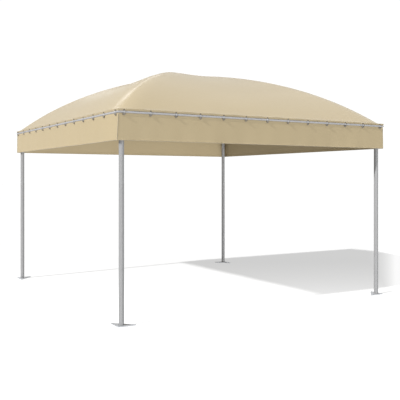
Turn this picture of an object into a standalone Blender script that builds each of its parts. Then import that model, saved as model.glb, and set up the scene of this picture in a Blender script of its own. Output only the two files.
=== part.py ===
"""Dome-roof gazebo: four round posts on triangular feet carry a square eave frame and two crossed arches.
One fabric roof is stretched over the arches, and a straight valance hangs below the rail on each side.
Metres, +Z up, ground at z = 0, origin at the centre of the plan. The front faces -Y, the left side -X."""

import math

import bmesh
import bpy
from mathutils import Matrix, Vector

# Driving dimensions of the plan and the frame
POST_SPACING = 4.000
POST_RADIUS = 0.03015
POST_WALL = 0.0029
POST_TOP = 2.330
HEAD_TOP = 2.437
FRAME_TUBE_RADIUS = 0.02415
FRAME_TUBE_WALL = 0.0026
EAVE_HEIGHT = 2.410
RAIL_RADIUS = 0.0125
RAIL_WALL = 0.002
RAIL_OUTSET = 0.064

# Base plates: right-angled triangles, seen from the post's axis
PLATE_THICKNESS = 0.010
PLATE_OUTSET = 0.066
PLATE_LEG = 0.235
PLATE_CORNER_RADIUS = 0.008
PLATE_CORNER_STEPS = 4
ANCHOR_HOLE_RADIUS = 0.007
CORNER_HOLE_INSET = 0.026
TIP_HOLE_ALONG = 0.190
TIP_HOLE_INSET = 0.020

# Fittings that join the tubes
COLLAR_REACH = 0.050
SPIGOT_LENGTH = 0.065
SPIGOT_OVERLAP = 0.010
POST_SPIGOT_LENGTH = 0.090
ARCH_COLLAR_START = -0.012
ARCH_COLLAR_END = 0.036
LUG_WIDTH = 0.008
LUG_HEIGHT = 0.024
SPACER_RADIUS = 0.008
SPACER_ROOT = 0.0018
SPACER_PITCH = 2 / 3
SPACERS_EACH_WAY = 2
HUB_RADIUS = 0.050
HUB_HEIGHT = 0.054
HUB_EDGE = 0.004
HUB_DROP = 0.005
HUB_CLEARANCE = 0.0015

# The roof fabric: the ridges over the arches are quarter ellipses in plan distance from the centre
APEX_HEIGHT = 3.250
ARCH_SEMI_WIDTH = 4.355
ARCH_SEMI_HEIGHT = 3.095
RIDGE_SOFTNESS = 0.100
FACE_SAG = 0.033
HEM_TOP = 2.445
HEM_OUTSET = 0.076
FABRIC_THICKNESS = 0.003
ARCH_SEAT = 0.002
CELLS_PER_HALF = 12

# The valance
VALANCE_BOTTOM = 2.091

# Air between pieces that touch, and the number of sides of a round piece
GAP = 0.0003
POST_SIDES = 28
TUBE_SIDES = 20
ARCH_SIDES = 16
RAIL_SIDES = 16
BAR_SIDES = 12
SMOOTH_ANGLE = math.radians(40)
MERGE_DISTANCE = 1e-6
TANGENT_STEP = 1e-4

HALF = POST_SPACING / 2
RAIL_HALF = HALF + RAIL_OUTSET
HEM_HALF = HALF + HEM_OUTSET
HEM_BOTTOM = EAVE_HEIGHT + RAIL_RADIUS + GAP
SPIGOT_RADIUS = FRAME_TUBE_RADIUS - FRAME_TUBE_WALL - GAP
POST_AXIS = Vector((-HALF, -HALF, 0))
UP = Vector((0, 0, 1))
TO_CENTRE = Vector((1, 1, 0)).normalized()
SIDE_NAMES = ("front", "right", "back", "left")
CORNER_NAMES = ("front_left", "front_right", "back_right", "back_left")


def make_material(name, colour, roughness, metallic):
    material = bpy.data.materials.new(name)
    material.use_nodes = True
    shader = material.node_tree.nodes["Principled BSDF"]
    shader.inputs["Base Color"].default_value = (*colour, 1)
    shader.inputs["Roughness"].default_value = roughness
    shader.inputs["Metallic"].default_value = metallic
    material.diffuse_color = (*colour, 1)
    return material


def finished_mesh(bm, name, smooth=True):
    """The bmesh as a mesh datablock, welded, facing out, and shaded smooth across gentle edges."""
    bmesh.ops.remove_doubles(bm, verts=bm.verts, dist=MERGE_DISTANCE)
    bmesh.ops.recalc_face_normals(bm, faces=bm.faces)
    mesh = bpy.data.meshes.new(name)
    bm.to_mesh(mesh)
    bm.free()
    if smooth:
        mesh.shade_smooth()
        mesh.set_sharp_from_angle(angle=SMOOTH_ANGLE)
    return mesh


def add_object(name, mesh, material, turn=0.0):
    """An object of this mesh, turned about the plan's centre."""
    obj = bpy.data.objects.new(name, mesh)
    bpy.context.scene.collection.objects.link(obj)
    obj.rotation_euler.z = turn
    obj.data.materials.clear()
    obj.data.materials.append(material)
    return obj


def add_four(stem, names, mesh, material):
    """The same piece on each side or corner, turned by a quarter each time."""
    for quarter, name in enumerate(names):
        add_object(f"{stem}_{name}", mesh, material, quarter * math.pi / 2)


def ring(centre, tangent, radius, sides, reference=UP):
    """Points of a circle round centre, square to tangent, the first of them towards reference."""
    tangent = tangent.normalized()
    across = tangent.cross(reference).normalized()
    first = across.cross(tangent).normalized()
    turns = (2 * math.pi * step / sides for step in range(sides))
    return [centre + radius * (math.cos(a) * first + math.sin(a) * across) for a in turns]


def loft(bm, rings, close_ends):
    """Quads between one ring of points and the next, with a flat face at each end where asked."""
    loops = [[bm.verts.new(point) for point in points] for points in rings]
    for lower, upper in zip(loops, loops[1:]):
        for i in range(len(lower)):
            j = (i + 1) % len(lower)
            bm.faces.new((lower[i], lower[j], upper[j], upper[i]))
    if close_ends:
        bm.faces.new(loops[0])
        bm.faces.new(loops[-1])
    return loops


def rod(path, radius, sides, reference=UP):
    """A solid round bar along (point, tangent) stations."""
    bm = bmesh.new()
    loft(bm, [ring(point, tangent, radius, sides, reference) for point, tangent in path], True)
    return bm


def tube(path, radius, wall, sides, reference=UP):
    """An open-ended round tube along (point, tangent) stations."""
    bm = bmesh.new()
    outer = loft(bm, [ring(p, t, radius, sides, reference) for p, t in path], False)
    inner = loft(bm, [ring(p, t, radius - wall, sides, reference) for p, t in path], False)
    for end in (0, -1):
        for i in range(sides):
            j = (i + 1) % sides
            bm.faces.new((outer[end][i], outer[end][j], inner[end][j], inner[end][i]))
    return bm


def straight(start, end):
    return [(start, end - start), (end, end - start)]


def box(centre, size, turn=0.0):
    """A box of this size, turned about its own upright axis."""
    bm = bmesh.new()
    matrix = Matrix.Translation(centre) @ Matrix.Rotation(turn, 4, "Z") @ Matrix.Diagonal((*size, 1))
    bmesh.ops.create_cube(bm, size=1, matrix=matrix)
    return bm


def combined(base, others, operation, name):
    """The base bmesh joined with, or cut by, each of the others."""
    helpers = []
    for index, bm in enumerate((base, *others)):
        helper = bpy.data.objects.new(f"helper_{index}", finished_mesh(bm, f"helper_{index}", False))
        bpy.context.scene.collection.objects.link(helper)
        helpers.append(helper)
    for other in helpers[1:]:
        modifier = helpers[0].modifiers.new("combine", "BOOLEAN")
        modifier.operation = operation
        modifier.solver = "EXACT"
        modifier.object = other
    evaluated = helpers[0].evaluated_get(bpy.context.evaluated_depsgraph_get())
    mesh = bpy.data.meshes.new_from_object(evaluated)
    mesh.name = name
    for helper in helpers:
        bpy.data.objects.remove(helper)
    mesh.shade_smooth()
    mesh.set_sharp_from_angle(angle=SMOOTH_ANGLE)
    return mesh


def ridge_height(reach):
    """Height of the fabric over an arch, where reach is its plan distance from the centre along X or Y."""
    from_centre = min(reach, HALF) * math.sqrt(2)
    drop = ARCH_SEMI_HEIGHT * (1 - math.sqrt(1 - (from_centre / ARCH_SEMI_WIDTH) ** 2))
    height = APEX_HEIGHT - drop
    if reach > HALF:
        height += (HEM_TOP - height) * (reach - HALF) / HEM_OUTSET
    return height


def fabric_height(x, y):
    """The roof between the ridges: level across each face, rounded at the ridges and sagging a little."""
    outward = max(abs(x), abs(y))
    sideways = min(abs(x), abs(y))
    reach = (outward + sideways + math.hypot(outward - sideways, RIDGE_SOFTNESS)) / 2
    if outward == 0:
        return ridge_height(reach)
    share = outward / HEM_HALF
    sag = 4 * FACE_SAG * share * (1 - share) * (1 - (sideways / outward) ** 2)
    return ridge_height(min(reach, HEM_HALF)) - sag


def arch_station(reach):
    """Centre and direction of the arch tube over the plan point (-reach, -reach), below the fabric."""
    inner = reach - TANGENT_STEP
    outer = reach + TANGENT_STEP
    rise = fabric_height(inner, inner) - fabric_height(outer, outer)
    tangent = (TO_CENTRE * (outer - inner) * math.sqrt(2) + UP * rise).normalized()
    side = TO_CENTRE.cross(UP)
    normal = side.cross(tangent).normalized()
    depth = FRAME_TUBE_RADIUS + FABRIC_THICKNESS + ARCH_SEAT
    top = Vector((-reach, -reach, fabric_height(reach, reach)))
    return top - normal * depth, tangent


def arch_reaches():
    """Where the arch tube has its stations: its ends, and each line of the roof's grid between them."""
    outer = HALF - ARCH_COLLAR_END - GAP
    inner = (HUB_RADIUS + HUB_CLEARANCE) / math.sqrt(2)
    grid = (HALF * step / CELLS_PER_HALF for step in range(CELLS_PER_HALF, 0, -1))
    return [outer, *(reach for reach in grid if inner < reach < outer), inner]


def arch_spigot(end, following):
    """A straight stub inside one end of the arch tube, along the tube's first stretch."""
    start = arch_station(end)[0]
    way = (arch_station(following)[0] - start).normalized()
    return rod(straight(start - way * SPIGOT_OVERLAP, start + way * SPIGOT_LENGTH), SPIGOT_RADIUS, ARCH_SIDES)


def make_base_plates(steel):
    corner = -PLATE_OUTSET
    tip = corner + PLATE_LEG
    corners = [Vector((corner, corner)), Vector((tip, corner)), Vector((corner, tip))]
    outline = []
    for index, here in enumerate(corners):
        before = (corners[index - 1] - here).normalized()
        after = (corners[(index + 1) % 3] - here).normalized()
        half_angle = before.angle(after) / 2
        centre = here + (before + after).normalized() * PLATE_CORNER_RADIUS / math.sin(half_angle)
        first = here + before * PLATE_CORNER_RADIUS / math.tan(half_angle)
        sweep = math.pi - 2 * half_angle
        start = math.atan2(first.y - centre.y, first.x - centre.x)
        for step in range(PLATE_CORNER_STEPS + 1):
            angle = start + sweep * step / PLATE_CORNER_STEPS
            outline.append(centre + PLATE_CORNER_RADIUS * Vector((math.cos(angle), math.sin(angle))))
    bm = bmesh.new()
    levels = [[Vector((p.x, p.y, z)) + POST_AXIS for p in outline] for z in (0, PLATE_THICKNESS)]
    loft(bm, levels, True)
    near = corner + CORNER_HOLE_INSET
    along = corner + TIP_HOLE_ALONG
    beside = corner + TIP_HOLE_INSET
    cutters = []
    for x, y in ((near, near), (along, beside), (beside, along)):
        at = POST_AXIS + Vector((x, y, 0))
        path = straight(at - UP * PLATE_THICKNESS, at + UP * 2 * PLATE_THICKNESS)
        cutters.append(rod(path, ANCHOR_HOLE_RADIUS, BAR_SIDES, Vector((1, 0, 0))))
    add_four("base_plate", CORNER_NAMES, combined(bm, cutters, "DIFFERENCE", "base_plate"), steel)


def make_posts(steel):
    path = straight(POST_AXIS + UP * (PLATE_THICKNESS + GAP), POST_AXIS + UP * POST_TOP)
    bm = tube(path, POST_RADIUS, POST_WALL, POST_SIDES, Vector((1, 0, 0)))
    add_four("post", CORNER_NAMES, finished_mesh(bm, "post"), steel)


def make_corner_fittings(steel):
    """Post head with stub tubes towards two beams and the arch, and a lug out to the lacing rail's corner."""
    plus_x = Vector((1, 0, 0))
    plus_y = Vector((0, 1, 0))
    head_path = straight(POST_AXIS + UP * (POST_TOP + GAP), POST_AXIS + UP * HEAD_TOP)
    head = rod(head_path, POST_RADIUS, POST_SIDES, plus_x)
    spigot_bottom = POST_AXIS + UP * (POST_TOP - POST_SPIGOT_LENGTH)
    spigot_top = POST_AXIS + UP * (POST_TOP + SPIGOT_OVERLAP)
    others = [rod(straight(spigot_bottom, spigot_top), POST_RADIUS - POST_WALL - GAP, POST_SIDES, plus_x)]
    eave = POST_AXIS + UP * EAVE_HEIGHT
    for way in (plus_x, plus_y):
        others.append(rod(straight(eave, eave + way * COLLAR_REACH), FRAME_TUBE_RADIUS, TUBE_SIDES))
        ends = (eave + way * (COLLAR_REACH - SPIGOT_OVERLAP), eave + way * (COLLAR_REACH + SPIGOT_LENGTH))
        others.append(rod(straight(*ends), SPIGOT_RADIUS, TUBE_SIDES))
    collar = [arch_station(HALF - inset) for inset in (ARCH_COLLAR_START, ARCH_COLLAR_END)]
    others.append(rod(collar, FRAME_TUBE_RADIUS, ARCH_SIDES))
    others.append(arch_spigot(*arch_reaches()[:2]))
    lug_end = (RAIL_OUTSET - RAIL_RADIUS - GAP) * math.sqrt(2) - LUG_WIDTH / 2
    lug_middle = eave - TO_CENTRE * lug_end / 2
    others.append(box(lug_middle, (lug_end, LUG_WIDTH, LUG_HEIGHT), math.pi / 4))
    add_four("corner_fitting", CORNER_NAMES, combined(head, others, "UNION", "corner_fitting"), steel)


def make_eave_beams(steel):
    """A beam on the post line, with short round spacers that carry the lacing rail."""
    end = HALF - COLLAR_REACH - GAP
    axis = Vector((0, -HALF, EAVE_HEIGHT))
    along = Vector((1, 0, 0))
    path = straight(axis - along * end, axis + along * end)
    beam = tube(path, FRAME_TUBE_RADIUS, FRAME_TUBE_WALL, TUBE_SIDES)
    inner = FRAME_TUBE_RADIUS - SPACER_ROOT
    outer = RAIL_OUTSET - RAIL_RADIUS - GAP
    spacers = []
    for step in range(-SPACERS_EACH_WAY, SPACERS_EACH_WAY + 1):
        at = axis + along * step * SPACER_PITCH
        ends = (at - Vector((0, inner, 0)), at - Vector((0, outer, 0)))
        spacers.append(rod(straight(*ends), SPACER_RADIUS, BAR_SIDES))
    add_four("eave_beam", SIDE_NAMES, combined(beam, spacers, "UNION", "eave_beam"), steel)


def make_lacing_rails(steel):
    """The thin tube between hem and valance. Its ends are cut at 45 degrees to meet its neighbours."""
    axis = Vector((0, -RAIL_HALF, EAVE_HEIGHT))
    along = Vector((1, 0, 0))
    bm = tube(straight(axis - along, axis + along), RAIL_RADIUS, RAIL_WALL, RAIL_SIDES)
    for vert in bm.verts:
        vert.co.x = math.copysign(-vert.co.y - GAP, vert.co.x)
    add_four("lacing_rail", SIDE_NAMES, finished_mesh(bm, "lacing_rail"), steel)


def make_arches(steel):
    path = [arch_station(reach) for reach in arch_reaches()]
    bm = tube(path, FRAME_TUBE_RADIUS, FRAME_TUBE_WALL, ARCH_SIDES)
    add_four("arch_half", CORNER_NAMES, finished_mesh(bm, "arch_half"), steel)


def make_crown_hub(steel):
    """A round boss under the top of the roof, with a stub into each arch half."""
    top = APEX_HEIGHT - FABRIC_THICKNESS - HUB_DROP
    bottom = top - HUB_HEIGHT
    bm = bmesh.new()
    profile = (
        (HUB_RADIUS - HUB_EDGE, bottom),
        (HUB_RADIUS, bottom + HUB_EDGE),
        (HUB_RADIUS, top - HUB_EDGE),
        (HUB_RADIUS - HUB_EDGE, top),
    )
    loft(bm, [ring(UP * z, UP, radius, POST_SIDES, Vector((1, 0, 0))) for radius, z in profile], True)
    following, end = arch_reaches()[-2:]
    stubs = []
    for quarter in range(4):
        stub = arch_spigot(end, following)
        stub.transform(Matrix.Rotation(quarter * math.pi / 2, 4, "Z"))
        stubs.append(stub)
    add_object("crown_hub", combined(bm, stubs, "UNION", "crown_hub"), steel)


def make_roof(fabric):
    """One sheet over both arches, its edge turned down as a hem that ends above the lacing rail.
    Each cell of its grid is folded along the direction of the nearer arch."""
    inside = [HALF * step / CELLS_PER_HALF for step in range(-CELLS_PER_HALF, CELLS_PER_HALF + 1)]
    lines = [-HEM_HALF, *inside, HEM_HALF]
    last = len(lines) - 1
    bm = bmesh.new()
    grid = [[bm.verts.new((x, y, fabric_height(x, y))) for y in lines] for x in lines]
    for i in range(last):
        for j in range(last):
            corners = [grid[i][j], grid[i + 1][j], grid[i + 1][j + 1], grid[i][j + 1]]
            if (i < last / 2) != (j < last / 2):
                corners = corners[1:] + corners[:1]
            bm.faces.new((corners[0], corners[1], corners[2]))
            bm.faces.new((corners[0], corners[2], corners[3]))
    edge = [e for e in bm.edges if e.is_boundary]
    hem = bmesh.ops.extrude_edge_only(bm, edges=edge)
    for vert in (g for g in hem["geom"] if isinstance(g, bmesh.types.BMVert)):
        vert.co.z = HEM_BOTTOM
    roof = add_object("roof_membrane", finished_mesh(bm, "roof_membrane"), fabric)
    solidify = roof.modifiers.new("thickness", "SOLIDIFY")
    solidify.thickness = FABRIC_THICKNESS
    solidify.offset = -1
    solidify.use_even_offset = True


def make_valances(fabric):
    """A straight sheet that hangs from the rail, mitred where it meets the next one."""
    top = EAVE_HEIGHT - RAIL_RADIUS - GAP
    inner = RAIL_HALF - FABRIC_THICKNESS / 2
    outer = RAIL_HALF + FABRIC_THICKNESS / 2
    plan = ((GAP - inner, -inner), (GAP - outer, -outer), (outer - GAP, -outer), (inner - GAP, -inner))
    bm = bmesh.new()
    loft(bm, [[Vector((x, y, z)) for x, y in plan] for z in (VALANCE_BOTTOM, top)], True)
    add_four("valance", SIDE_NAMES, finished_mesh(bm, "valance", smooth=False), fabric)


def main():
    for obj in list(bpy.data.objects):
        bpy.data.objects.remove(obj)
    steel = make_material("galvanised_steel", (0.55, 0.56, 0.57), 0.42, 0.85)
    roof_fabric = make_material("roof_fabric", (0.66, 0.56, 0.38), 0.45, 0.0)
    valance_fabric = make_material("valance_fabric", (0.64, 0.54, 0.36), 0.5, 0.0)
    make_base_plates(steel)
    make_posts(steel)
    make_corner_fittings(steel)
    make_eave_beams(steel)
    make_lacing_rails(steel)
    make_arches(steel)
    make_crown_hub(steel)
    make_roof(roof_fabric)
    make_valances(valance_fabric)


main()
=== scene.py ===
"""Looks of the dome-roof gazebo: the sewn canopy and valances, the lacing that ties them to the rails, and
the weld beads and screws of the steel frame. Metres, +Z up, in the frame of the CAD model."""

import math

import bmesh
import bpy
from mathutils import Matrix, Vector


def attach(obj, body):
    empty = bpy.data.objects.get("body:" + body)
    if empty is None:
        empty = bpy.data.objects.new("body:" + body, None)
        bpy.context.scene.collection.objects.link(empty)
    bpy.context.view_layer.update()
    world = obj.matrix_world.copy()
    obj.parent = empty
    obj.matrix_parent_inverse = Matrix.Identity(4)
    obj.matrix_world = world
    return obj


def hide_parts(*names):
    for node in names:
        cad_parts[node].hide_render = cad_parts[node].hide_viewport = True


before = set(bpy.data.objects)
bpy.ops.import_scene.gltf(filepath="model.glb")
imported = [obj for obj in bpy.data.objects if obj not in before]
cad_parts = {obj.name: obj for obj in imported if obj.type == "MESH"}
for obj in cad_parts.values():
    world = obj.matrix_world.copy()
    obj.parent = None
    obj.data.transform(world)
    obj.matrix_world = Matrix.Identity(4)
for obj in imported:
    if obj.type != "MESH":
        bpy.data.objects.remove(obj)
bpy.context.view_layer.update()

# The frame's dimensions, as the CAD model has them
HALF = 2.000
POST_RADIUS = 0.03015
POST_TOP = 2.330
PLATE_THICKNESS = 0.010
FRAME_TUBE_RADIUS = 0.02415
EAVE_HEIGHT = 2.410
RAIL_HALF = 2.064
COLLAR_REACH = 0.050
SPACER_RADIUS = 0.008
SPACER_PITCH = 2 / 3

# The roof's shape, as the CAD model has it, and the edges of the hem band and the valances
APEX_HEIGHT = 3.250
ARCH_SEMI_WIDTH = 4.355
ARCH_SEMI_HEIGHT = 3.095
RIDGE_SOFTNESS = 0.100
RIDGE_TIGHTNESS = 0.045
RIDGE_REACH = 0.130
FACE_SAG = 0.033
HEM_TOP = 2.445
HEM_OUTSET = 0.076
HEM_HALF = HALF + HEM_OUTSET
HEM_BOTTOM = 2.4228
HEM_TUCK = 0.0050
VALANCE_TOP = 2.3972
VALANCE_BOTTOM = 2.091

# Cloth
CLOTH = 0.0012
FOLD_GAP = 0.0014
HEM_ROLL = 0.0048
VALANCE_FACE = RAIL_HALF + 0.0006
SCALLOP_DEPTH = 0.003
SCALLOP_REACH = 0.07
HEM_CALM = 0.15
BAND_WIDTH = 0.060
PIPING_RADIUS = 0.0030

# Weave and stitching
THREAD_PITCH = 0.0011
STITCH_PITCH = 0.006
STITCH_LENGTH = 0.004
STITCH_HALF_WIDTH = 0.0009
RIDGE_SEAM_HALF_WIDTH = 0.022
RIDGE_ROW = 0.018
HEM_ROW = 0.0185
FOLD_HEIGHT = 0.031
LOW_ROW = 0.003
HIGH_ROW = 0.027
END_ROW = 0.056

# Colours of the cloth
BEIGE = (0.47, 0.383, 0.231)
# painted shade: the lower half of the valances' rolled hem is mixed towards this darker grey, standing in
# for the shade on the roll's underside
HEM_UNDERSIDE_SHADE = (0.300, 0.275, 0.225)
# painted shade: the corner piping is this darker colour throughout, standing in for a shade line down each
# corner of the valance
PIPING_SHADE_COLOUR = (0.270, 0.240, 0.180)

# Lacing
STATION_PITCH = 1 / 3
STATIONS = [-HALF + STATION_PITCH * count for count in range(13)]
EYELET_HEIGHT = 2.3840
EYELET_BORE = 0.0050
EYELET_FLANGE = 0.0088
EYELET_SLOT = 0.0115
STRAP_WIDTH = 0.015
HOOK_HALF_WIDTH = 0.0185
HOOK_DROP = 0.0180
HOOK_DEPTH = 0.0170
HOOK_TOP = 2.3888
CLIP_HALF_WIDTH = 0.0100
CLIP_RISE = 0.0185
CLIP_DEPTH = 0.0085
CLIP_FOOT = 2.4234

SIDES = ("front", "right", "back", "left")
CORNERS = ("front_left", "front_right", "back_right", "back_left")
TO_CENTRE = Vector((1, 1, 0)).normalized()
UP = Vector((0, 0, 1))


# Shader maths


class Channel:
    """One output of a shader node. Python's operators on it add the Math nodes of the expression."""

    def __init__(self, finish, socket):
        self.finish = finish
        self.socket = socket

    def maths(self, operation, *values):
        return self.finish.node("ShaderNodeMath", {"operation": operation}, dict(enumerate(values)))

    def __add__(self, other):
        return self.maths("ADD", self, other)

    __radd__ = __add__

    def __sub__(self, other):
        return self.maths("SUBTRACT", self, other)

    def __rsub__(self, other):
        return self.maths("SUBTRACT", other, self)

    def __mul__(self, other):
        return self.maths("MULTIPLY", self, other)

    __rmul__ = __mul__

    def __truediv__(self, other):
        return self.maths("DIVIDE", self, other)

    def __mod__(self, other):
        return self.maths("FLOORED_MODULO", self, other)

    def __abs__(self):
        return self.maths("ABSOLUTE", self)

    def __lt__(self, other):
        return self.maths("LESS_THAN", self, other)

    def __gt__(self, other):
        return self.maths("GREATER_THAN", self, other)

    def exponential(self):
        return self.maths("EXPONENT", self)

    def sine(self):
        return self.maths("SINE", self)

    def at_least(self, other):
        return self.maths("MAXIMUM", self, other)

    def at_most(self, other):
        return self.maths("MINIMUM", self, other)


class Finish:
    """A material with its Principled shader, and the nodes that feed it."""

    def __init__(self, name, **constants):
        self.material = bpy.data.materials.new(name)
        self.material.use_nodes = True
        self.tree = self.material.node_tree
        self.shader = self.tree.nodes["Principled BSDF"]
        for name, value in constants.items():
            self.shader.inputs[name.replace("_", " ")].default_value = value
        self.place = self.node("ShaderNodeTexCoord", {}, {}, "Object")

    def feed(self, socket, value):
        if isinstance(value, Channel):
            self.tree.links.new(value.socket, socket)
        else:
            socket.default_value = value

    def node(self, kind, settings, inputs, output=0):
        made = self.tree.nodes.new(kind)
        for name, value in settings.items():
            setattr(made, name, value)
        for name, value in inputs.items():
            self.feed(made.inputs[name], value)
        return Channel(self, made.outputs[output])

    def axes(self):
        return [self.node("ShaderNodeSeparateXYZ", {}, {0: self.place}, index) for index in range(3)]

    def stretched(self, scale):
        return self.node("ShaderNodeMapping", {}, {"Vector": self.place, "Scale": scale})

    def noise(self, scale, detail=2.0, place=None):
        inputs = {"Vector": place or self.place, "Scale": scale, "Detail": detail}
        return self.node("ShaderNodeTexNoise", {}, inputs)

    def cells(self, scale, place):
        """A random grey for each cell of a crystal pattern."""
        colour = self.node("ShaderNodeTexVoronoi", {}, {"Vector": place, "Scale": scale}, "Color")
        return self.node("ShaderNodeSeparateColor", {}, {0: colour})

    def blend(self, share, one, other):
        return self.node("ShaderNodeMix", {"data_type": "RGBA"}, {0: share, 6: one, 7: other}, 2)

    def colour(self, value):
        self.feed(self.shader.inputs["Base Color"], value)

    def roughness(self, value):
        self.feed(self.shader.inputs["Roughness"], value)

    def relief(self, height, distance, strength=1.0):
        inputs = {"Height": height, "Distance": distance, "Strength": strength}
        self.feed(self.shader.inputs["Normal"], self.node("ShaderNodeBump", {}, inputs))


def shade(colour, factor=1.0):
    return (*(part * factor for part in colour), 1)


def dashes(place):
    """1 on each stitch of a row that runs along this axis, and 0 between them."""
    return (place % STITCH_PITCH) < STITCH_LENGTH


def stitch_row(distance):
    """1 where the distance from a row of stitches is less than their half width."""
    return abs(distance) < STITCH_HALF_WIDTH


def tent_fabric(name, colour, roughness, gloss, on_roof):
    """Coated tent cloth: a fine plain weave, soft cloudiness, and the seams and stitches of this piece."""
    finish = Finish(name, Sheen_Weight=0.15, Sheen_Roughness=0.5, Coat_Weight=gloss, Coat_Roughness=0.12)
    x, y, z = finish.axes()
    front_or_back = abs(y) > abs(x)
    along = x * front_or_back + y * (1 - front_or_back)
    thread = 2 * math.pi / THREAD_PITCH
    if on_roof:
        on_slope = z > HEM_TOP
        cross = y * on_slope + z * (1 - on_slope)
        weave = (x * on_slope + along * (1 - on_slope)) * thread
        from_ridge = abs(abs(x) - abs(y)) * (1 / math.sqrt(2))
        overlap = from_ridge < RIDGE_SEAM_HALF_WIDTH
        ridge_row = stitch_row(from_ridge - RIDGE_ROW) * on_slope
        hem_row = stitch_row(z - (HEM_BOTTOM + HEM_ROW)) * (1 - on_slope)
        stitches = (ridge_row * dashes(x)).at_least(hem_row * dashes(along))
    else:
        cross = z
        weave = along * thread
        overlap = (z < VALANCE_BOTTOM + FOLD_HEIGHT).at_least(z > VALANCE_TOP - FOLD_HEIGHT)
        low_row = stitch_row(z - (VALANCE_BOTTOM + 2 * HEM_ROLL + LOW_ROW))
        high_row = stitch_row(z - (VALANCE_TOP - HIGH_ROW))
        end_row = stitch_row(abs(along) - (RAIL_HALF - END_ROW))
        stitches = (low_row.at_least(high_row) * dashes(along)).at_least(end_row * dashes(z))
    threads = weave.sine() * (cross * thread).sine()
    cloud = finish.noise(1.3, 3.0)
    grain = finish.noise(38.0, 2.0)
    tone = finish.blend(cloud, shade(colour, 0.97), shade(colour, 1.03))
    tone = finish.blend(grain * 0.35, tone, shade(colour, 0.94))
    tone = finish.blend(overlap * 0.5, tone, shade(colour, 1.03))
    if not on_roof:
        # painted shade along the underside of the rolled hem: its lower half is darkened and greyed
        tone = finish.blend((z < VALANCE_BOTTOM + HEM_ROLL) * 0.4, tone, shade(HEM_UNDERSIDE_SHADE))
    finish.colour(finish.blend(stitches * 0.8, tone, shade(colour, 0.80)))
    finish.roughness(roughness + 0.10 * grain)
    finish.relief(threads * 0.015 + overlap * 0.5 + stitches * 0.8 + grain * 0.06, 0.0006, 0.8)
    return finish.material


def galvanised_steel(name, colour, size, dull):
    """Hot-dip zinc: grey crystals of this size, with soft drawn streaks and dull patches."""
    finish = Finish(name, Specular_IOR_Level=0.5)
    crystals = finish.cells(1 / size, finish.stretched((1.0, 1.0, 0.7)))
    streaks = finish.noise(28.0, 3.0, finish.stretched((1.0, 1.0, 0.08)))
    patches = finish.noise(5.0, 3.0)
    tone = finish.blend(crystals, shade(colour, 0.90), shade(colour, 1.10))
    tone = finish.blend(streaks * 0.35, tone, shade(colour, 0.82))
    finish.colour(finish.blend(patches * 0.4, tone, shade(colour, 1.08)))
    finish.roughness(dull + 0.12 * crystals + 0.10 * patches)
    finish.feed(finish.shader.inputs["Metallic"], 0.10 + 0.15 * crystals)
    finish.relief(crystals * 0.4 + streaks, 0.0002, 0.6)
    return finish.material


def weld_metal():
    finish = Finish("weld_bead_zinc", Metallic=0.7)
    scales = (finish.noise(260.0, 1.0) * 6.0).sine()
    finish.colour(finish.blend(scales, (0.34, 0.345, 0.35, 1), (0.52, 0.525, 0.53, 1)))
    finish.roughness(0.48 + 0.12 * scales)
    finish.relief(scales, 0.0006)
    return finish.material


def bright_metal(name, colour, roughness):
    """Plated metal of small parts, with fine scuffs."""
    finish = Finish(name, Metallic=1.0)
    scuffs = finish.noise(900.0, 2.0, finish.stretched((1.0, 1.0, 0.15)))
    finish.colour(finish.blend(scuffs, shade(colour, 0.85), shade(colour, 1.05)))
    finish.roughness(roughness + 0.18 * scuffs)
    finish.relief(scuffs, 0.0001)
    return finish.material


def strap_webbing():
    """Woven webbing, light blue-grey, with fine ribs across and along."""
    finish = Finish("strap_webbing", Sheen_Weight=0.2)
    x, y, z = finish.axes()
    ribs = (z * 4200.0).sine() * ((x + y) * 3600.0).sine()
    worn = finish.noise(60.0, 2.0)
    tone = finish.blend(ribs * 0.5 + 0.5, (0.50, 0.51, 0.53, 1), (0.60, 0.61, 0.63, 1))
    finish.colour(finish.blend(worn * 0.3, tone, (0.40, 0.40, 0.40, 1)))
    finish.roughness(0.58 + 0.15 * worn)
    finish.relief(ribs, 0.0004)
    return finish.material


def moulded_plastic(name, colour):
    """Moulded plastic of this colour, with a fine grain and paler scuffs."""
    finish = Finish(name)
    grain = finish.noise(1500.0, 2.0)
    scuffs = finish.noise(120.0, 4.0)
    finish.colour(finish.blend(scuffs * 0.5, shade(colour), shade(colour, 1.35)))
    finish.roughness(0.42 + 0.2 * scuffs)
    finish.relief(grain, 0.0002)
    return finish.material


# Modelling helpers


def select_only(*objects):
    bpy.ops.object.select_all(action="DESELECT")
    for piece in objects:
        piece.select_set(True)
    bpy.context.view_layer.objects.active = objects[0]


def named(piece, name, material):
    piece.name = name
    piece.data.name = name
    piece.data.materials.clear()
    piece.data.materials.append(material)
    return piece


def settle(piece):
    """Puts the object's place into its mesh."""
    select_only(piece)
    bpy.ops.object.transform_apply(location=True, rotation=True, scale=True)


def edit_where(piece, kind, chosen):
    """Opens the mesh in edit mode with only the vertices or faces that pass the test selected."""
    select_only(piece)
    bpy.ops.object.mode_set(mode="EDIT")
    bpy.ops.mesh.select_mode(type=kind)
    bpy.ops.mesh.select_all(action="DESELECT")
    bpy.ops.object.mode_set(mode="OBJECT")
    items = piece.data.vertices if kind == "VERT" else piece.data.polygons
    for item in items:
        item.select = chosen(item)
    bpy.ops.object.mode_set(mode="EDIT")


def close_edit():
    bpy.ops.object.mode_set(mode="OBJECT")


def copied(piece, name, matrix):
    """Another piece with its own mesh, moved by the matrix."""
    made = piece.copy()
    made.data = piece.data.copy()
    made.name = name
    made.data.name = name
    made.data.transform(matrix)
    bpy.context.scene.collection.objects.link(made)
    return made


def joined(pieces, name):
    select_only(*pieces)
    bpy.ops.object.join()
    pieces[0].name = name
    pieces[0].data.name = name
    return pieces[0]


def quarter_turn(count):
    return Matrix.Rotation(count * math.pi / 2, 4, "Z")


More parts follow.
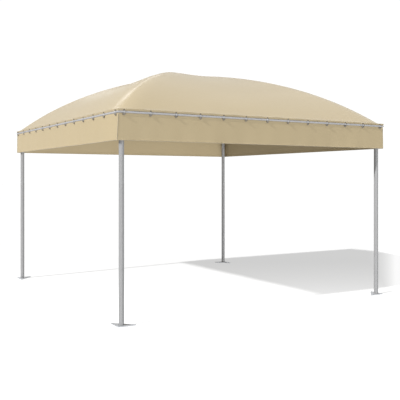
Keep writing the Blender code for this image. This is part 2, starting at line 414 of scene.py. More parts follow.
def four_copies(piece, stem, names):
    """The piece and its three copies, one for each side or corner."""
    made = [copied(piece, f"{stem}_{names[count]}", quarter_turn(count)) for count in range(1, 4)]
    piece.name = f"{stem}_{names[0]}"
    piece.data.name = piece.name
    return [piece, *made]


def smooth_by_angle(piece, degrees):
    select_only(piece)
    bpy.ops.object.shade_smooth_by_angle(angle=math.radians(degrees))


def finish_piece(piece):
    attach(piece, "root")


# The sewn cloth


def ridge_height(reach):
    from_centre = min(reach, HALF) * math.sqrt(2)
    drop = ARCH_SEMI_HEIGHT * (1 - math.sqrt(1 - (from_centre / ARCH_SEMI_WIDTH) ** 2))
    height = APEX_HEIGHT - drop
    if reach > HALF:
        height += (HEM_TOP - height) * (reach - HALF) / HEM_OUTSET
    return height


def ridge_width(apart):
    """How far the cloth is rounded over an arch. It lies on the same line of the tube as the CAD model's."""
    spare = (RIDGE_SOFTNESS - RIDGE_TIGHTNESS) * math.exp(-((apart / RIDGE_REACH) ** 2))
    return math.hypot(apart, RIDGE_TIGHTNESS) + spare


def fabric_height(x, y):
    """Height of the roof's upper face."""
    outward = max(abs(x), abs(y))
    sideways = min(abs(x), abs(y))
    reach = (outward + sideways + ridge_width(outward - sideways)) / 2
    if outward == 0:
        return ridge_height(reach)
    share = outward / HEM_HALF
    sag = 4 * FACE_SAG * share * (1 - share) * (1 - (sideways / outward) ** 2)
    return ridge_height(min(reach, HEM_HALF)) - sag


def between_stations(along):
    """0 at each lacing station and 1 halfway between two."""
    return (1 - math.cos(2 * math.pi * (along + HALF) / STATION_PITCH)) / 2


def canopy_height(x, y):
    """The roof's height with the shallow scallops that the lacing pulls into its edge."""
    outward = max(abs(x), abs(y))
    sideways = min(abs(x), abs(y))
    edge_share = math.exp(-(HEM_HALF - outward) / SCALLOP_REACH)
    pull = (between_stations(sideways) - 0.5) * SCALLOP_DEPTH * edge_share
    return fabric_height(x, y) + pull * min(1, (HEM_HALF - sideways) / HEM_CALM)


def sheet_from_rows(name, rows, material, closed=False):
    """A smooth sheet through rows of points, one row below the other."""
    points = [point for row in rows for point in row]
    width = len(rows[0])
    faces = []
    for line in range(len(rows) - 1):
        for index in range(width if closed else width - 1):
            following = (index + 1) % width
            here, below = line * width, (line + 1) * width
            faces.append((here + index, below + index, below + following, here + following))
    mesh = bpy.data.meshes.new(name)
    mesh.from_pydata(points, [], faces)
    mesh.update()
    piece = bpy.data.objects.new(name, mesh)
    bpy.context.scene.collection.objects.link(piece)
    named(piece, name, material)
    mesh.shade_smooth()
    return piece


def give_thickness(piece, thickness, offset=-1.0):
    solidify = piece.modifiers.new("cloth", "SOLIDIFY")
    solidify.thickness = thickness
    solidify.offset = offset
    select_only(piece)
    bpy.ops.object.modifier_apply(modifier="cloth")


def face_towards(piece, way_at):
    """Turns the sheet's faces to the side that way_at gives for the middle of its largest face."""
    bm = bmesh.new()
    bm.from_mesh(piece.data)
    face = max(bm.faces, key=lambda f: f.calc_area())
    if face.normal.dot(way_at(face.calc_center_median())) < 0:
        bmesh.ops.reverse_faces(bm, faces=bm.faces)
    bm.to_mesh(piece.data)
    bm.free()


def cap(piece, *loops):
    """Closes each of these loops of vertices with a face."""
    bm = bmesh.new()
    bm.from_mesh(piece.data)
    bm.verts.ensure_lookup_table()
    for loop in loops:
        bm.faces.new([bm.verts[index] for index in loop])
    bmesh.ops.recalc_face_normals(bm, faces=bm.faces)
    bm.to_mesh(piece.data)
    bm.free()


def make_canopy(material):
    """One continuous cloth over both arches, whose edge turns down as the hem band and folds back inside."""
    cells = 150
    shoulder = 0.003
    hem_lift = 0.0018
    hem_swell = 0.0012
    inner_half = HEM_HALF - shoulder
    lines = [-inner_half + 2 * inner_half * step / cells for step in range(cells + 1)]
    bm = bmesh.new()
    grid = [[bm.verts.new((x, y, canopy_height(x, y))) for y in lines] for x in lines]
    for i in range(cells):
        for j in range(cells):
            bm.faces.new((grid[i][j], grid[i + 1][j], grid[i + 1][j + 1], grid[i][j + 1]))
    # the loop of edge points, in order round the square
    loop = [grid[i][0] for i in range(cells)] + [grid[cells][j] for j in range(cells)]
    loop += [grid[i][cells] for i in range(cells, 0, -1)] + [grid[0][j] for j in range(cells, 0, -1)]
    # the hem band, down from the shoulder and up again inside: reach, height and its share of the scallops
    inner = HEM_HALF - HEM_TUCK - FOLD_GAP - CLOTH
    profile = [
        (HEM_HALF - 0.0010, HEM_TOP + 0.0008, 1.0),
        (HEM_HALF, HEM_TOP - 0.0010, 0.9),
        (HEM_HALF - HEM_TUCK * 0.35, HEM_TOP - 0.0080, 0.6),
        (HEM_HALF - HEM_TUCK * 0.75, HEM_TOP - 0.0155, 0.3),
        (HEM_HALF - HEM_TUCK, HEM_BOTTOM + 0.0012, 0.1),
        (HEM_HALF - HEM_TUCK - 0.0006, HEM_BOTTOM + 0.0003, 0.0),
        (inner, HEM_BOTTOM + 0.0006, 0.0),
        (inner - 0.0004, HEM_BOTTOM + 0.0030, 0.1),
        (inner + HEM_TUCK * 0.40, HEM_BOTTOM + 0.0105, 0.4),
        (inner + HEM_TUCK * 0.75, HEM_BOTTOM + 0.0165, 0.6),
    ]
    before = loop
    for reach, height, follow in profile:
        ring = []
        for vert in loop:
            x, y, z = vert.co
            sideways = min(abs(x), abs(y))
            swell = between_stations(sideways) * min(1, (HEM_HALF - sideways) / HEM_CALM)
            lift = hem_lift * swell + follow * (z - fabric_height(x, y)) * 0.5
            out = reach + hem_swell * swell
            px = math.copysign(out, x) if abs(abs(x) - inner_half) < 1e-6 else x
            py = math.copysign(out, y) if abs(abs(y) - inner_half) < 1e-6 else y
            ring.append(bm.verts.new((px, py, height + lift)))
        count = len(ring)
        for index in range(count):
            following = (index + 1) % count
            bm.faces.new((before[index], before[following], ring[following], ring[index]))
        before = ring
    bmesh.ops.recalc_face_normals(bm, faces=bm.faces)
    if max(bm.faces, key=lambda f: f.calc_center_median().z).normal.z < 0:
        bmesh.ops.reverse_faces(bm, faces=bm.faces)
    mesh = bpy.data.meshes.new("canopy")
    bm.to_mesh(mesh)
    bm.free()
    canopy = bpy.data.objects.new("canopy", mesh)
    bpy.context.scene.collection.objects.link(canopy)
    named(canopy, "canopy", material)
    give_thickness(canopy, CLOTH)
    smooth_by_angle(canopy, 50)
    return canopy


def roof_point(x, y, depth):
    """A point this far under the roof's upper face, square to it."""
    step = 1e-3
    slope_x = (fabric_height(x + step, y) - fabric_height(x - step, y)) / (2 * step)
    slope_y = (fabric_height(x, y + step) - fabric_height(x, y - step)) / (2 * step)
    normal = Vector((-slope_x, -slope_y, 1)).normalized()
    return Vector((x, y, fabric_height(x, y))) - normal * depth


def make_ridge_strips(material):
    """Doubling strips sewn inside the roof along each arch, and a round patch at the crown."""
    strip_depth = CLOTH + 0.0003
    strip_thickness = 0.0022
    first, last, steps = 0.10, 1.965, 56
    half_width = 0.038
    square_to_arch = 1 / math.sqrt(2)
    rows = []
    for step in range(steps + 1):
        # each row lies square to the arch, which runs to the front left corner
        reach = first + (last - first) * step / steps
        shifts = [half_width * (index / 3 - 1) * square_to_arch for index in range(7)]
        rows.append([roof_point(-reach + shift, -reach - shift, strip_depth) for shift in shifts])
    strip = sheet_from_rows("ridge_strip_front_left", rows, material)
    face_towards(strip, lambda centre: UP)
    give_thickness(strip, strip_thickness)
    strips = four_copies(strip, "ridge_strip", CORNERS)
    patch_depth = strip_depth + 0.0024
    patch_thickness = 0.0014
    patch_radius, rings_out, around = 0.165, 8, 40
    turns = [2 * math.pi * index / around for index in range(around)]
    rings = []
    for step in range(rings_out + 1):
        radius = patch_radius * step / rings_out + 0.002
        rings.append([roof_point(radius * math.cos(a), radius * math.sin(a), patch_depth) for a in turns])
    patch = sheet_from_rows("crown_patch", rings, material, closed=True)
    cap(patch, range(around))
    face_towards(patch, lambda centre: UP)
    give_thickness(patch, patch_thickness)
    return strips + [patch]


# How far each corner of the valance hangs away from its place at the bottom, in X and Y
CORNER_LEAN = {
    "front_left": (-0.0150, 0.0010),
    "front_right": (0.0015, -0.0040),
    "back_right": (0.0050, 0.0030),
    "back_left": (-0.0020, 0.0050),
}

# The long, middle and short wave along the valances: their lengths, and their phases on each side
WAVE_LENGTHS = (1.31, 0.77, 0.29)
WAVE_PHASES = {
    "front": (0.4, 1.9, 0.0),
    "right": (2.2, 0.3, 1.3),
    "back": (4.1, 2.8, 2.4),
    "left": (5.3, 4.4, 3.6),
}

# The height of the long and of the short wave, and the middle wave's share of the long one's
LONG_WAVE, SHORT_WAVE, MIDDLE_SHARE = 0.0030, 0.0010, 0.6

# Swellings between the stations, and creases that slant down from each: how proud they are, and how far
# down they reach
SWELLING, SWELLING_DROP = 0.0035, 0.05
CREASE, CREASE_DROP = 0.0022, 0.07
CREASE_START, CREASE_SLANT = 0.010, 0.95
CREASE_WIDTH = 0.011
CREASE_SPAN = 0.17

# How far from a corner the waves are calmed, and how far its lean reaches outwards and along
CORNER_CALM = 0.35
LEAN_REACH = 0.8
SLIDE_REACH = 0.45


def ease(share):
    share = max(0.0, min(1.0, share))
    return share * share * (3 - 2 * share)


def lean_in_side_frame(side, end):
    """The lean of the side's left or right end, as (outward, along), seen in the front side's frame."""
    count = SIDES.index(side)
    corner = CORNERS[count] if end < 0 else CORNERS[(count + 1) % 4]
    x, y = CORNER_LEAN[corner]
    turned = Matrix.Rotation(-count * math.pi / 2, 2) @ Vector((x, y))
    return -turned.y, turned.x


def valance_point(side, along, height, inward):
    """A point of the hanging valance in the front side's frame, inward of its outer face."""
    depth = VALANCE_TOP - height
    top_share = depth / (VALANCE_TOP - VALANCE_BOTTOM)
    to_corner = RAIL_HALF - abs(along)
    calm = ease(to_corner / CORNER_CALM)
    out = SWELLING * between_stations(along) * math.exp(-depth / SWELLING_DROP) * calm
    for station in STATIONS:
        away = abs(along - station)
        if away < CREASE_SPAN:
            crease = math.exp(-(((away - CREASE_SLANT * depth - CREASE_START) / CREASE_WIDTH) ** 2))
            out += CREASE * crease * math.exp(-depth / CREASE_DROP) * min(1, depth / 0.02) * calm
    long_wave, middle_wave, short_wave = (
        math.sin(2 * math.pi * along / length + phase)
        for length, phase in zip(WAVE_LENGTHS, WAVE_PHASES[side]))
    out += LONG_WAVE * (long_wave + MIDDLE_SHARE * middle_wave) * top_share ** 1.5 * calm
    out += SHORT_WAVE * short_wave * top_share * calm
    lean_out, lean_along = lean_in_side_frame(side, -1 if along < 0 else 1)
    hang = ease(top_share) * 0.5 + top_share * 0.5
    out += lean_out * hang * ease(1 - to_corner / LEAN_REACH)
    slide = lean_along * hang * ease(1 - to_corner / SLIDE_REACH)
    return Vector((along + slide, -(VALANCE_FACE + out - inward), height))


def make_valances(material):
    """Each valance hangs from its rail. Its top is folded inwards and its bottom is rolled up into a hem."""
    turned_in = FOLD_GAP + CLOTH
    rows_down, columns = 26, 344
    roll_steps, roll_start, roll_sweep = 12, 62, 304
    roll_top = VALANCE_BOTTOM + 2 * HEM_ROLL
    drop = VALANCE_TOP - 0.001 - roll_top
    # height and how far inwards, from the folded top down the face and round the roll
    profile = [
        (VALANCE_TOP - 0.032, turned_in),
        (VALANCE_TOP - 0.018, turned_in),
        (VALANCE_TOP - 0.0015, turned_in),
        (VALANCE_TOP - 0.0004, turned_in * 0.7),
        (VALANCE_TOP - 0.0001, turned_in * 0.25),
    ]
    profile += [(roll_top + drop * (1 - step / rows_down), 0.0) for step in range(rows_down + 1)]
    for step in range(1, roll_steps):
        angle = math.radians(roll_start - step * (roll_sweep / roll_steps))
        height = VALANCE_BOTTOM + HEM_ROLL * (1 + math.sin(angle))
        profile.append((height, turned_in / 2 - HEM_ROLL * math.cos(angle)))
    profile += [(roll_top + 0.0010, turned_in), (roll_top + 0.010, turned_in), (roll_top + 0.021, turned_in)]
    made = []
    for count, side in enumerate(SIDES):
        rows = []
        for height, inward in profile:
            end = RAIL_HALF - 0.0008 - inward
            lines = [-end + 2 * end * step / columns for step in range(columns + 1)]
            rows.append([valance_point(side, along, height, inward) for along in lines])
        valance = sheet_from_rows(f"valance_cloth_{side}", rows, material)
        valance.data.transform(quarter_turn(count))
        outward = quarter_turn(count) @ Vector((0, -1, 0))
        face_towards(valance, lambda centre: outward)
        give_thickness(valance, CLOTH)
        smooth_by_angle(valance, 50)
        made.append(valance)
    return made


def make_corner_bands(material):
    """A narrow band sewn round each corner of the valance, over the joint of two sides."""
    made = []
    steps, across = 27, 7
    inward = -0.0011
    for count, corner in enumerate(CORNERS):
        left_side, right_side = SIDES[count], SIDES[count - 1]
        rows = []
        for step in range(steps + 1):
            height = VALANCE_TOP - 0.002 - (VALANCE_TOP - VALANCE_BOTTOM - 0.004) * step / steps
            row = []
            for index in range(across + 1):
                along = RAIL_HALF - 0.0006 - BAND_WIDTH * (1 - index / across)
                row.append(quarter_turn(count - 1) @ valance_point(right_side, along, height, inward))
            for index in range(across + 1):
                along = -(RAIL_HALF - 0.0006 - BAND_WIDTH * index / across)
                row.append(quarter_turn(count) @ valance_point(left_side, along, height, inward))
            rows.append(row)
        band = sheet_from_rows(f"corner_band_{corner}", rows, material)
        outward = quarter_turn(count) @ Vector((-1, -1, 0))
        face_towards(band, lambda centre: outward)
        give_thickness(band, 0.0009)
        smooth_by_angle(band, 50)
        made.append(band)
    return made


def make_corner_piping(material):
    """A thin cord sewn into the cloth along each corner of the valance. Its darker colour is painted shade,
    a shade line down the corner.
    """
    made = []
    steps, around = 24, 10
    turns = [2 * math.pi * index / around for index in range(around)]
    for count, corner in enumerate(CORNERS):
        left_side, right_side = SIDES[count], SIDES[count - 1]
        diagonal = quarter_turn(count) @ Vector((-1, -1, 0)).normalized()
        across = quarter_turn(count) @ Vector((1, -1, 0)).normalized()
        rows = []
        for step in range(steps + 1):
            height = VALANCE_TOP - 0.003 - (VALANCE_TOP - VALANCE_BOTTOM - 0.004) * step / steps
            one = quarter_turn(count - 1) @ valance_point(right_side, RAIL_HALF, height, 0)
            other = quarter_turn(count) @ valance_point(left_side, -RAIL_HALF, height, 0)
            centre = (one + other) / 2 + diagonal * 0.0012
            radius = PIPING_RADIUS * (0.5 if step in (0, steps) else 1.0)
            rows.append([
                centre + diagonal * (radius * math.cos(a)) + across * (radius * math.sin(a)) for a in turns])
        piping = sheet_from_rows(f"corner_piping_{corner}", rows, material, closed=True)
        cap(piping, range(around), reversed(range(steps * around, (steps + 1) * around)))
        smooth_by_angle(piping, 60)
        made.append(piping)
    return made


# The lacing


def make_eyelet(material):
    """A rolled oval metal ring at x = 0 of the front valance, a little proud of both faces of the cloth."""
    bpy.ops.mesh.primitive_torus_add(
        location=(0, -(VALANCE_FACE - CLOTH), EYELET_HEIGHT), rotation=(math.pi / 2, 0, 0),
        major_segments=20, minor_segments=6,
        major_radius=(EYELET_BORE + EYELET_FLANGE) / 2, minor_radius=(EYELET_FLANGE - EYELET_BORE) / 2)
    ring = named(bpy.context.object, "valance_eyelet", material)
    settle(ring)
    edit_where(ring, "VERT", lambda v: True)
    bpy.ops.transform.resize(value=(1, 0.70, 1))
    close_edit()
    # drawn apart into a slot with round ends
    for end in (-1, 1):
        edit_where(ring, "VERT", lambda v: v.co.x * end > 1e-5)
        bpy.ops.transform.translate(value=(end * EYELET_SLOT, 0, 0))
        close_edit()
    smooth_by_angle(ring, 60)
    return ring


# The strap's loop round the rail: metres out of and up from the rail's axis
STRAP_PATH = (
    (0.0092, 0.0165), (0.0112, 0.0130), (0.0129, 0.0080), (0.0137, 0.0000), (0.0128, -0.0052),
    (0.0104, -0.0090), (0.0076, -0.0118), (0.0056, -0.0160), (0.0046, -0.0220), (0.0030, -0.0262),
    (-0.0010, -0.0275), (-0.0046, -0.0245), (-0.0075, -0.0175), (-0.0110, -0.0105), (-0.0136, -0.0030),
    (-0.0131, 0.0050), (-0.0098, 0.0108), (-0.0045, 0.0140), (0.0020, 0.0165), (0.0060, 0.0178),
)


def make_strap(material):
    """Webbing loop at x = 0 that ties the roof's hem and the front valance to the rail."""
    rows = []
    for index in range(7):
        x = STRAP_WIDTH * (index / 6 - 0.5)
        rows.append([Vector((x, -(RAIL_HALF + out), EAVE_HEIGHT + up)) for out, up in STRAP_PATH])
    strap = sheet_from_rows("strap", rows, material, closed=True)
    face_towards(strap, lambda centre: Vector((0, -RAIL_HALF - centre.y, EAVE_HEIGHT - centre.z)) * -1)
    give_thickness(strap, 0.0010, 1.0)
    smooth_by_angle(strap, 50)
    return strap


def moulded_half_round(name, half_width, length, outward, depth, height, way, material):
    """Small moulded part, half round below or above its flat edge, with a domed front."""
    body = depth * 0.62
    bpy.ops.mesh.primitive_cylinder_add(
        vertices=28, radius=half_width, depth=body,
        rotation=(math.pi / 2, 0, 0), location=(0, -(outward + body / 2), 0))
    part = named(bpy.context.object, name, material)
    settle(part)
    edit_where(part, "FACE", lambda f: True)
    bpy.ops.mesh.bisect(plane_co=(0, 0, 0), plane_no=(0, 0, -way), use_fill=True, clear_outer=True)
    close_edit()
    edit_where(part, "VERT", lambda v: True)
    bpy.ops.transform.resize(value=(1, 1, length / half_width), center_override=(0, 0, 0))
    bpy.ops.transform.translate(value=(0, 0, height))
    close_edit()
    # the front is domed in steps, which take the rest of the depth, with a shallow dish in the middle
    edit_where(part, "FACE", lambda f: f.normal.y < -0.9)
    for inset, rise in ((0.07, 0.20), (0.12, 0.13), (0.13, 0.05)):
        bpy.ops.mesh.inset(thickness=half_width * inset, depth=depth * rise)
    bpy.ops.mesh.inset(thickness=half_width * 0.08, depth=-0.0008)
    close_edit()
    smooth_by_angle(part, 40)
    return part


def make_lacing(eyelet_metal, webbing, hook_plastic, clip_plastic):
    """Thirteen stations on each side: each kind of piece is made once, set along the rail and joined."""
    clip_seat = HEM_HALF - HEM_TUCK * 0.75 - 0.0004
    hook_seat = VALANCE_FACE + 0.0008
    singles = {
        "hem_clips": moulded_half_round(
            "hem_clip", CLIP_HALF_WIDTH, CLIP_RISE, clip_seat, CLIP_DEPTH, CLIP_FOOT, 1, clip_plastic),
        "valance_eyelets": make_eyelet(eyelet_metal),
        "lacing_straps": make_strap(webbing),
        "lacing_hooks": moulded_half_round(
            "hook", HOOK_HALF_WIDTH, HOOK_DROP, hook_seat, HOOK_DEPTH, HOOK_TOP, -1, hook_plastic),
    }
    made = {}
    for stem, single in singles.items():
        row = [copied(single, f"{stem}_{count}", Matrix.Translation((station, 0, 0)))
               for count, station in enumerate(STATIONS)]
        bpy.data.objects.remove(single)
        made[stem] = four_copies(joined(row, f"{stem}_front"), stem, SIDES)
    return made


# Steel details


def make_foot_weld(material):
    """The bead where a post stands on its base plate."""
    bpy.ops.mesh.primitive_torus_add(
        location=(-HALF, -HALF, PLATE_THICKNESS + 0.0012), major_segments=40, minor_segments=6,
        major_radius=POST_RADIUS + 0.0016, minor_radius=0.0036)
    bead = named(bpy.context.object, "foot_weld", material)
    settle(bead)
    edit_where(bead, "VERT", lambda v: v.co.z > PLATE_THICKNESS)
    bpy.ops.transform.vertex_random(offset=0.0007, seed=4)
    close_edit()
    smooth_by_angle(bead, 60)
    return bead


def saddle_bead(axis, material, seed):
    """The bead where the spigot for an eave beam along this axis leaves the post head."""
    turn = math.atan2(axis.y, axis.x)
    bpy.ops.mesh.primitive_torus_add(
        location=(0, 0, 0), rotation=(0, math.pi / 2, 0), major_segments=32, minor_segments=6,
        major_radius=FRAME_TUBE_RADIUS + 0.0010, minor_radius=0.0030)
    bead = named(bpy.context.object, "saddle_bead", material)
    settle(bead)
    for vert in bead.data.vertices:
        vert.co.x += math.sqrt(max(POST_RADIUS ** 2 - vert.co.y ** 2, 0.0))
    edit_where(bead, "VERT", lambda v: math.hypot(v.co.y, v.co.z) > FRAME_TUBE_RADIUS)
    bpy.ops.transform.vertex_random(offset=0.0005, seed=seed)
    close_edit()
    bead.data.transform(Matrix.Translation((-HALF, -HALF, EAVE_HEIGHT)) @ Matrix.Rotation(turn, 4, "Z"))
    smooth_by_angle(bead, 60)
    return bead


def make_screw(material):
    """Button-head socket screw whose head looks along +Z from the origin."""
    bpy.ops.mesh.primitive_cylinder_add(vertices=18, radius=0.0068, depth=0.0040, location=(0, 0, 0.0020))
    screw = named(bpy.context.object, "screw", material)
    settle(screw)
    edit_where(screw, "FACE", lambda f: f.normal.z > 0.9)
    bpy.ops.mesh.inset(thickness=0.0014, depth=0.0010)
    bpy.ops.mesh.inset(thickness=0.0020, depth=0.0002)
    bpy.ops.mesh.inset(thickness=0.0003, depth=-0.0002)
    bpy.ops.mesh.extrude_region_move(TRANSFORM_OT_translate={"value": (0, 0, -0.0026)})
    close_edit()
    smooth_by_angle(screw, 30)
    return screw


def placed(screw, name, at, look):
    """A copy of the screw with its seat at this point and its head looking this way."""
    turn = look.to_track_quat("Z", "Y").to_matrix().to_4x4()
    return copied(screw, name, Matrix.Translation(at) @ turn)


def make_corner_screws(material):
    """Screws that lock the post onto its head, and both eave beams onto theirs, at the front left corner."""
    screw = make_screw(material)
    post = Vector((-HALF, -HALF, 0))
    seats = []
    for height in (POST_TOP - 0.030, POST_TOP - 0.065):
        seats.append((post + UP * height + TO_CENTRE * (POST_RADIUS - 0.0006), TO_CENTRE))
    for way in (Vector((1, 0, 0)), Vector((0, 1, 0))):
        for reach in (COLLAR_REACH + 0.020, COLLAR_REACH + 0.045):
            at = post + UP * (EAVE_HEIGHT - FRAME_TUBE_RADIUS + 0.0006) + way * reach
            seats.append((at, -UP))
    pieces = [placed(screw, f"screw_{index}", *seat) for index, seat in enumerate(seats)]
    bpy.data.objects.remove(screw)
    return joined(pieces, "frame_screws")


def make_spacer_beads(material):
    """Beads round the five spacers of the front beam, where they leave it."""
    pieces = []
    for count in range(-2, 3):
        bpy.ops.mesh.primitive_torus_add(
            location=(count * SPACER_PITCH, -(HALF + FRAME_TUBE_RADIUS - 0.0012), EAVE_HEIGHT),
            rotation=(math.pi / 2, 0, 0), major_segments=16, minor_segments=6,
            major_radius=SPACER_RADIUS + 0.0006, minor_radius=0.0022)
        bead = named(bpy.context.object, f"spacer_bead_{count + 2}", material)
        settle(bead)
        edit_where(bead, "VERT", lambda v: True)
        bpy.ops.transform.vertex_random(offset=0.0003, seed=count + 7)
        close_edit()
        pieces.append(bead)
    beads = joined(pieces, "spacer_beads")
    smooth_by_angle(beads, 60)
    return beads


# The studio

WHITE_LIGHT = (1.0, 1.0, 1.0)
SOFT_AIR = 0.01
REFLECTED_AIR = 0.62
AIR_BEHIND = 1.05

# The floor's glow, which thins the shadow on it. The first three say where the camera looks from, in plan
VIEW_WAY = Vector((0.4995, 0.8663, 0))
EYE_BEHIND = 9.973
EYE_ASIDE = 0.0075
FLOOR_BOUNCE = 0.86
FLOOR_GLOW = 0.595
GLOW_FAR, GLOW_NEAR, GLOW_FALL = 0.87, 0.31, -0.44
RIGHT_END_SLOPE, RIGHT_END_START = 21.39, 6.01
RIGHT_END_GLOW, RIGHT_END_RISE = 0.958, 0.605
GLOW_LIMIT = 1.53


def make_floor():
    finish = Finish("studio_floor", Specular_IOR_Level=0.0)
    grain = finish.noise(3.0, 2.0)
    # the floor looks paler than the light that it throws up under the roof
    looked_at = finish.node("ShaderNodeLightPath", {}, {}, "Is Camera Ray")
    pale = finish.blend(grain, (0.115, 0.115, 0.115, 1), (0.12, 0.12, 0.12, 1))
    finish.colour(finish.blend(looked_at, (0.03, 0.03, 0.03, 1), pale))
    finish.roughness(1.0)
    # the shadow thins out towards the front and towards the right end
    x, y, _ = finish.axes()
    ahead = x * VIEW_WAY.x + y * VIEW_WAY.y
    across = x * VIEW_WAY.y - y * VIEW_WAY.x
    to_front = GLOW_FAR + GLOW_NEAR * (ahead * GLOW_FALL).exponential()
    slant = (across + EYE_ASIDE) / (ahead + EYE_BEHIND).at_least(0.5)
    beyond = (slant * RIGHT_END_SLOPE - RIGHT_END_START).at_least(0.0)
    to_right = RIGHT_END_GLOW + RIGHT_END_RISE * beyond * beyond
    glow = to_front.at_least(to_right).at_most(GLOW_LIMIT)
    seen = finish.node("ShaderNodeCombineColor", {}, {0: glow, 1: glow, 2: glow})
    emitted = finish.blend(looked_at, shade(WHITE_LIGHT, FLOOR_BOUNCE), seen)
    finish.feed(finish.shader.inputs["Emission Color"], emitted)
    finish.shader.inputs["Emission Strength"].default_value = FLOOR_GLOW
    # from below the floor is clear, so that the underside can be looked at
    behind = finish.node("ShaderNodeNewGeometry", {}, {}, "Backfacing")
    clear = finish.node("ShaderNodeBsdfTransparent", {}, {})
    shader = Channel(finish, finish.shader.outputs[0])
    surface = finish.node("ShaderNodeMixShader", {}, {0: behind, 1: shader, 2: clear})
    finish.feed(finish.tree.nodes["Material Output"].inputs["Surface"], surface)
    bpy.ops.object.select_all(action="DESELECT")
    bpy.ops.mesh.primitive_plane_add(size=400, location=(0, 0, -0.0006))
    floor = named(bpy.context.object, "studio_floor", finish.material)
    return floor


def make_sun(name, strength, softness, travel, colour):
    lamp = bpy.data.lights.new(name, "SUN")
    lamp.energy = strength
    lamp.angle = math.radians(softness)
    lamp.color = colour
    holder = bpy.data.objects.new(name, lamp)
    holder.rotation_mode = "QUATERNION"
    holder.rotation_quaternion = Vector(travel).to_track_quat("-Z", "Y")
    bpy.context.scene.collection.objects.link(holder)
    return holder


def from_behind(across, above):
    """The way that light travels from a lamp this many degrees to the right of +Y and above the floor."""
    across, above = math.radians(across), math.radians(above)
    return (-math.sin(across) * math.cos(above), -math.cos(across) * math.cos(above), -math.sin(above))


def make_lights(floor):
    """A hard key from the left, a fill from the camera's side, soft lamps above, behind and on the right,
    small lamps for the roof's highlights, and a sun for the floor alone."""
    key_way = (1.6, 0.19, -1.0)
    key = make_sun("key_light", 3.83, 1.2, key_way, (1.0, 0.985, 0.965))
    key.visible_glossy = False
    fill = make_sun("fill_light", 1.54, 14.0, (0.0, 1.0, 0.17), (1.0, 0.99, 0.97))
    top = make_sun("top_light", 1.36, 120.0, (0.0, 0.0, -1.0), (1.0, 0.99, 0.96))
    top.visible_glossy = False
    make_sun("back_light", 0.15, 60.0, (-0.1, -0.5, -0.85), (1.0, 0.99, 0.98))
    make_sun("right_light", 0.10, 40.0, from_behind(72, 38), (1.0, 0.985, 0.95))
    # small lamps behind the roof, mirrored by its arches and by the far part of its left face
    for name, strength, softness, across, above in (
            ("arch_foot_shine", 0.020, 8.0, 11, 31),
            ("arch_low_shine", 0.020, 9.0, 13.5, 36),
            ("arch_middle_shine", 0.019, 8.0, 17, 30),
            ("arch_top_shine", 0.030, 9.0, 25, 28),
            ("face_shine", 0.0043, 6.0, 19, 12.5)):
        make_sun(name, strength, softness, from_behind(across, above), WHITE_LIGHT)
    floor_sun = make_sun("floor_light", 15.5, 2.0, key_way, WHITE_LIGHT)
    receivers = bpy.data.collections.new("floor_light_receivers")
    receivers.objects.link(floor)
    floor_sun.light_linking.receiver_collection = receivers
    # the fill comes from a little below the horizon. The floor doesn't block it, nor do the posts and their
    # heads, so that no second shadow of theirs lies on the valances behind them
    passed = bpy.data.collections.new("fill_light_passes")
    passed.objects.link(floor)
    for corner in CORNERS:
        for stem in ("post", "corner_fitting"):
            passed.objects.link(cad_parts[f"{stem}_{corner}"])
    fill.light_linking.blocker_collection = passed
    for member in passed.collection_objects:
        member.light_linking.link_state = "EXCLUDE"


def make_world():
    """Even studio air: white behind the object, paler in reflections than in soft light."""
    world = bpy.data.worlds.new("studio_air")
    bpy.context.scene.world = world
    world.use_nodes = True
    nodes = world.node_tree.nodes
    links = world.node_tree.links
    path = nodes.new("ShaderNodeLightPath")
    nodes["Background"].inputs["Color"].default_value = (0.97, 0.98, 1.0, 1)
    nodes["Background"].inputs["Strength"].default_value = SOFT_AIR
    shader = nodes["Background"].outputs[0]
    for ray, strength in (("Is Glossy Ray", REFLECTED_AIR), ("Is Camera Ray", AIR_BEHIND)):
        air = nodes.new("ShaderNodeBackground")
        air.name = ray
        air.inputs["Color"].default_value = (1, 1, 1, 1)
        air.inputs["Strength"].default_value = strength
        mix = nodes.new("ShaderNodeMixShader")
        links.new(path.outputs[ray], mix.inputs[0])
        links.new(shader, mix.inputs[1])
        links.new(air.outputs[0], mix.inputs[2])
        shader = mix.outputs[0]
    links.new(shader, nodes["World Output"].inputs["Surface"])


def make_camera():
    """The photograph's view: level, from the front left, at a standing person's eye height."""
    lens = bpy.data.cameras.new("camera")
    lens.sensor_width = 36.0
    lens.lens = 57.76
    lens.shift_x = 0.03575
    lens.shift_y = -0.0545
    lens.clip_end = 500.0
    camera = bpy.data.objects.new("camera", lens)
    camera.location = (-4.989, -8.636, 1.666)
    camera.rotation_euler = (math.pi / 2, 0, math.radians(60.03 - 90))
    bpy.context.scene.collection.objects.link(camera)
    bpy.context.scene.camera = camera


make_camera()
make_lights(make_floor())
make_world()
bpy.context.scene.view_settings.view_transform = "Standard"

roof_cloth = tent_fabric("roof_fabric_beige", BEIGE, 0.46, 0.3, on_roof=True)
valance_cloth = tent_fabric("valance_fabric_beige", BEIGE, 0.46, 0.0, on_roof=False)
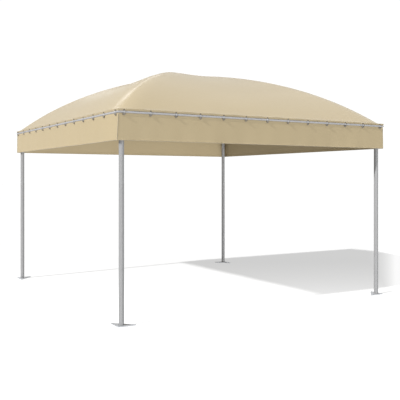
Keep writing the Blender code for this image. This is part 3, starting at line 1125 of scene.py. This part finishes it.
# the piping's darker cloth paints a shade line down each corner
piping_shade_cloth = tent_fabric("corner_piping_painted_shade", PIPING_SHADE_COLOUR, 0.46, 0.0, on_roof=False)
post_zinc = galvanised_steel("galvanised_tube", (0.340, 0.344, 0.354), 0.016, 0.52)
plate_zinc = galvanised_steel("galvanised_plate", (0.56, 0.58, 0.615), 0.022, 0.52)
rail_zinc = galvanised_steel("galvanised_rail", (0.475, 0.478, 0.50), 0.009, 0.48)
weld = weld_metal()
screw_metal = bright_metal("screw_zinc", (0.50, 0.51, 0.53), 0.30)

for name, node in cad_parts.items():
    if name.startswith(("roof", "valance")):
        continue
    metal = post_zinc
    if name.startswith("base_plate"):
        metal = plate_zinc
    elif name.startswith("lacing"):
        metal = rail_zinc
    node.data.materials.clear()
    node.data.materials.append(metal)

canopy = make_canopy(roof_cloth)
roof_doublings = make_ridge_strips(roof_cloth)
valances = make_valances(valance_cloth)
corner_bands = make_corner_bands(valance_cloth)
corner_piping = make_corner_piping(piping_shade_cloth)
lacing = make_lacing(
    bright_metal("eyelet_nickel", (0.62, 0.61, 0.58), 0.26),
    strap_webbing(),
    moulded_plastic("hook_brown_plastic", (0.225, 0.200, 0.165)),
    moulded_plastic("clip_dark_plastic", (0.120, 0.100, 0.080)))

finish_piece(canopy)
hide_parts("roof_membrane")
for piece in roof_doublings:
    finish_piece(piece)
for side, valance in zip(SIDES, valances):
    finish_piece(valance)
    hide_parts(f"valance_{side}")
for band in corner_bands + corner_piping:
    finish_piece(band)
for row in lacing.values():
    for piece in row:
        finish_piece(piece)

collar_beads = [saddle_bead(Vector((1, 0, 0)), weld, 2), saddle_bead(Vector((0, 1, 0)), weld, 3)]
for bead in four_copies(joined(collar_beads, "collar_welds"), "collar_welds", CORNERS):
    finish_piece(bead)
for bead in four_copies(make_foot_weld(weld), "foot_weld", CORNERS):
    finish_piece(bead)
for bead in four_copies(make_spacer_beads(weld), "spacer_beads", SIDES):
    finish_piece(bead)
for screws in four_copies(make_corner_screws(screw_metal), "frame_screws", CORNERS):
    finish_piece(screws)

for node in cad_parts.values():
    node.select_set(False)
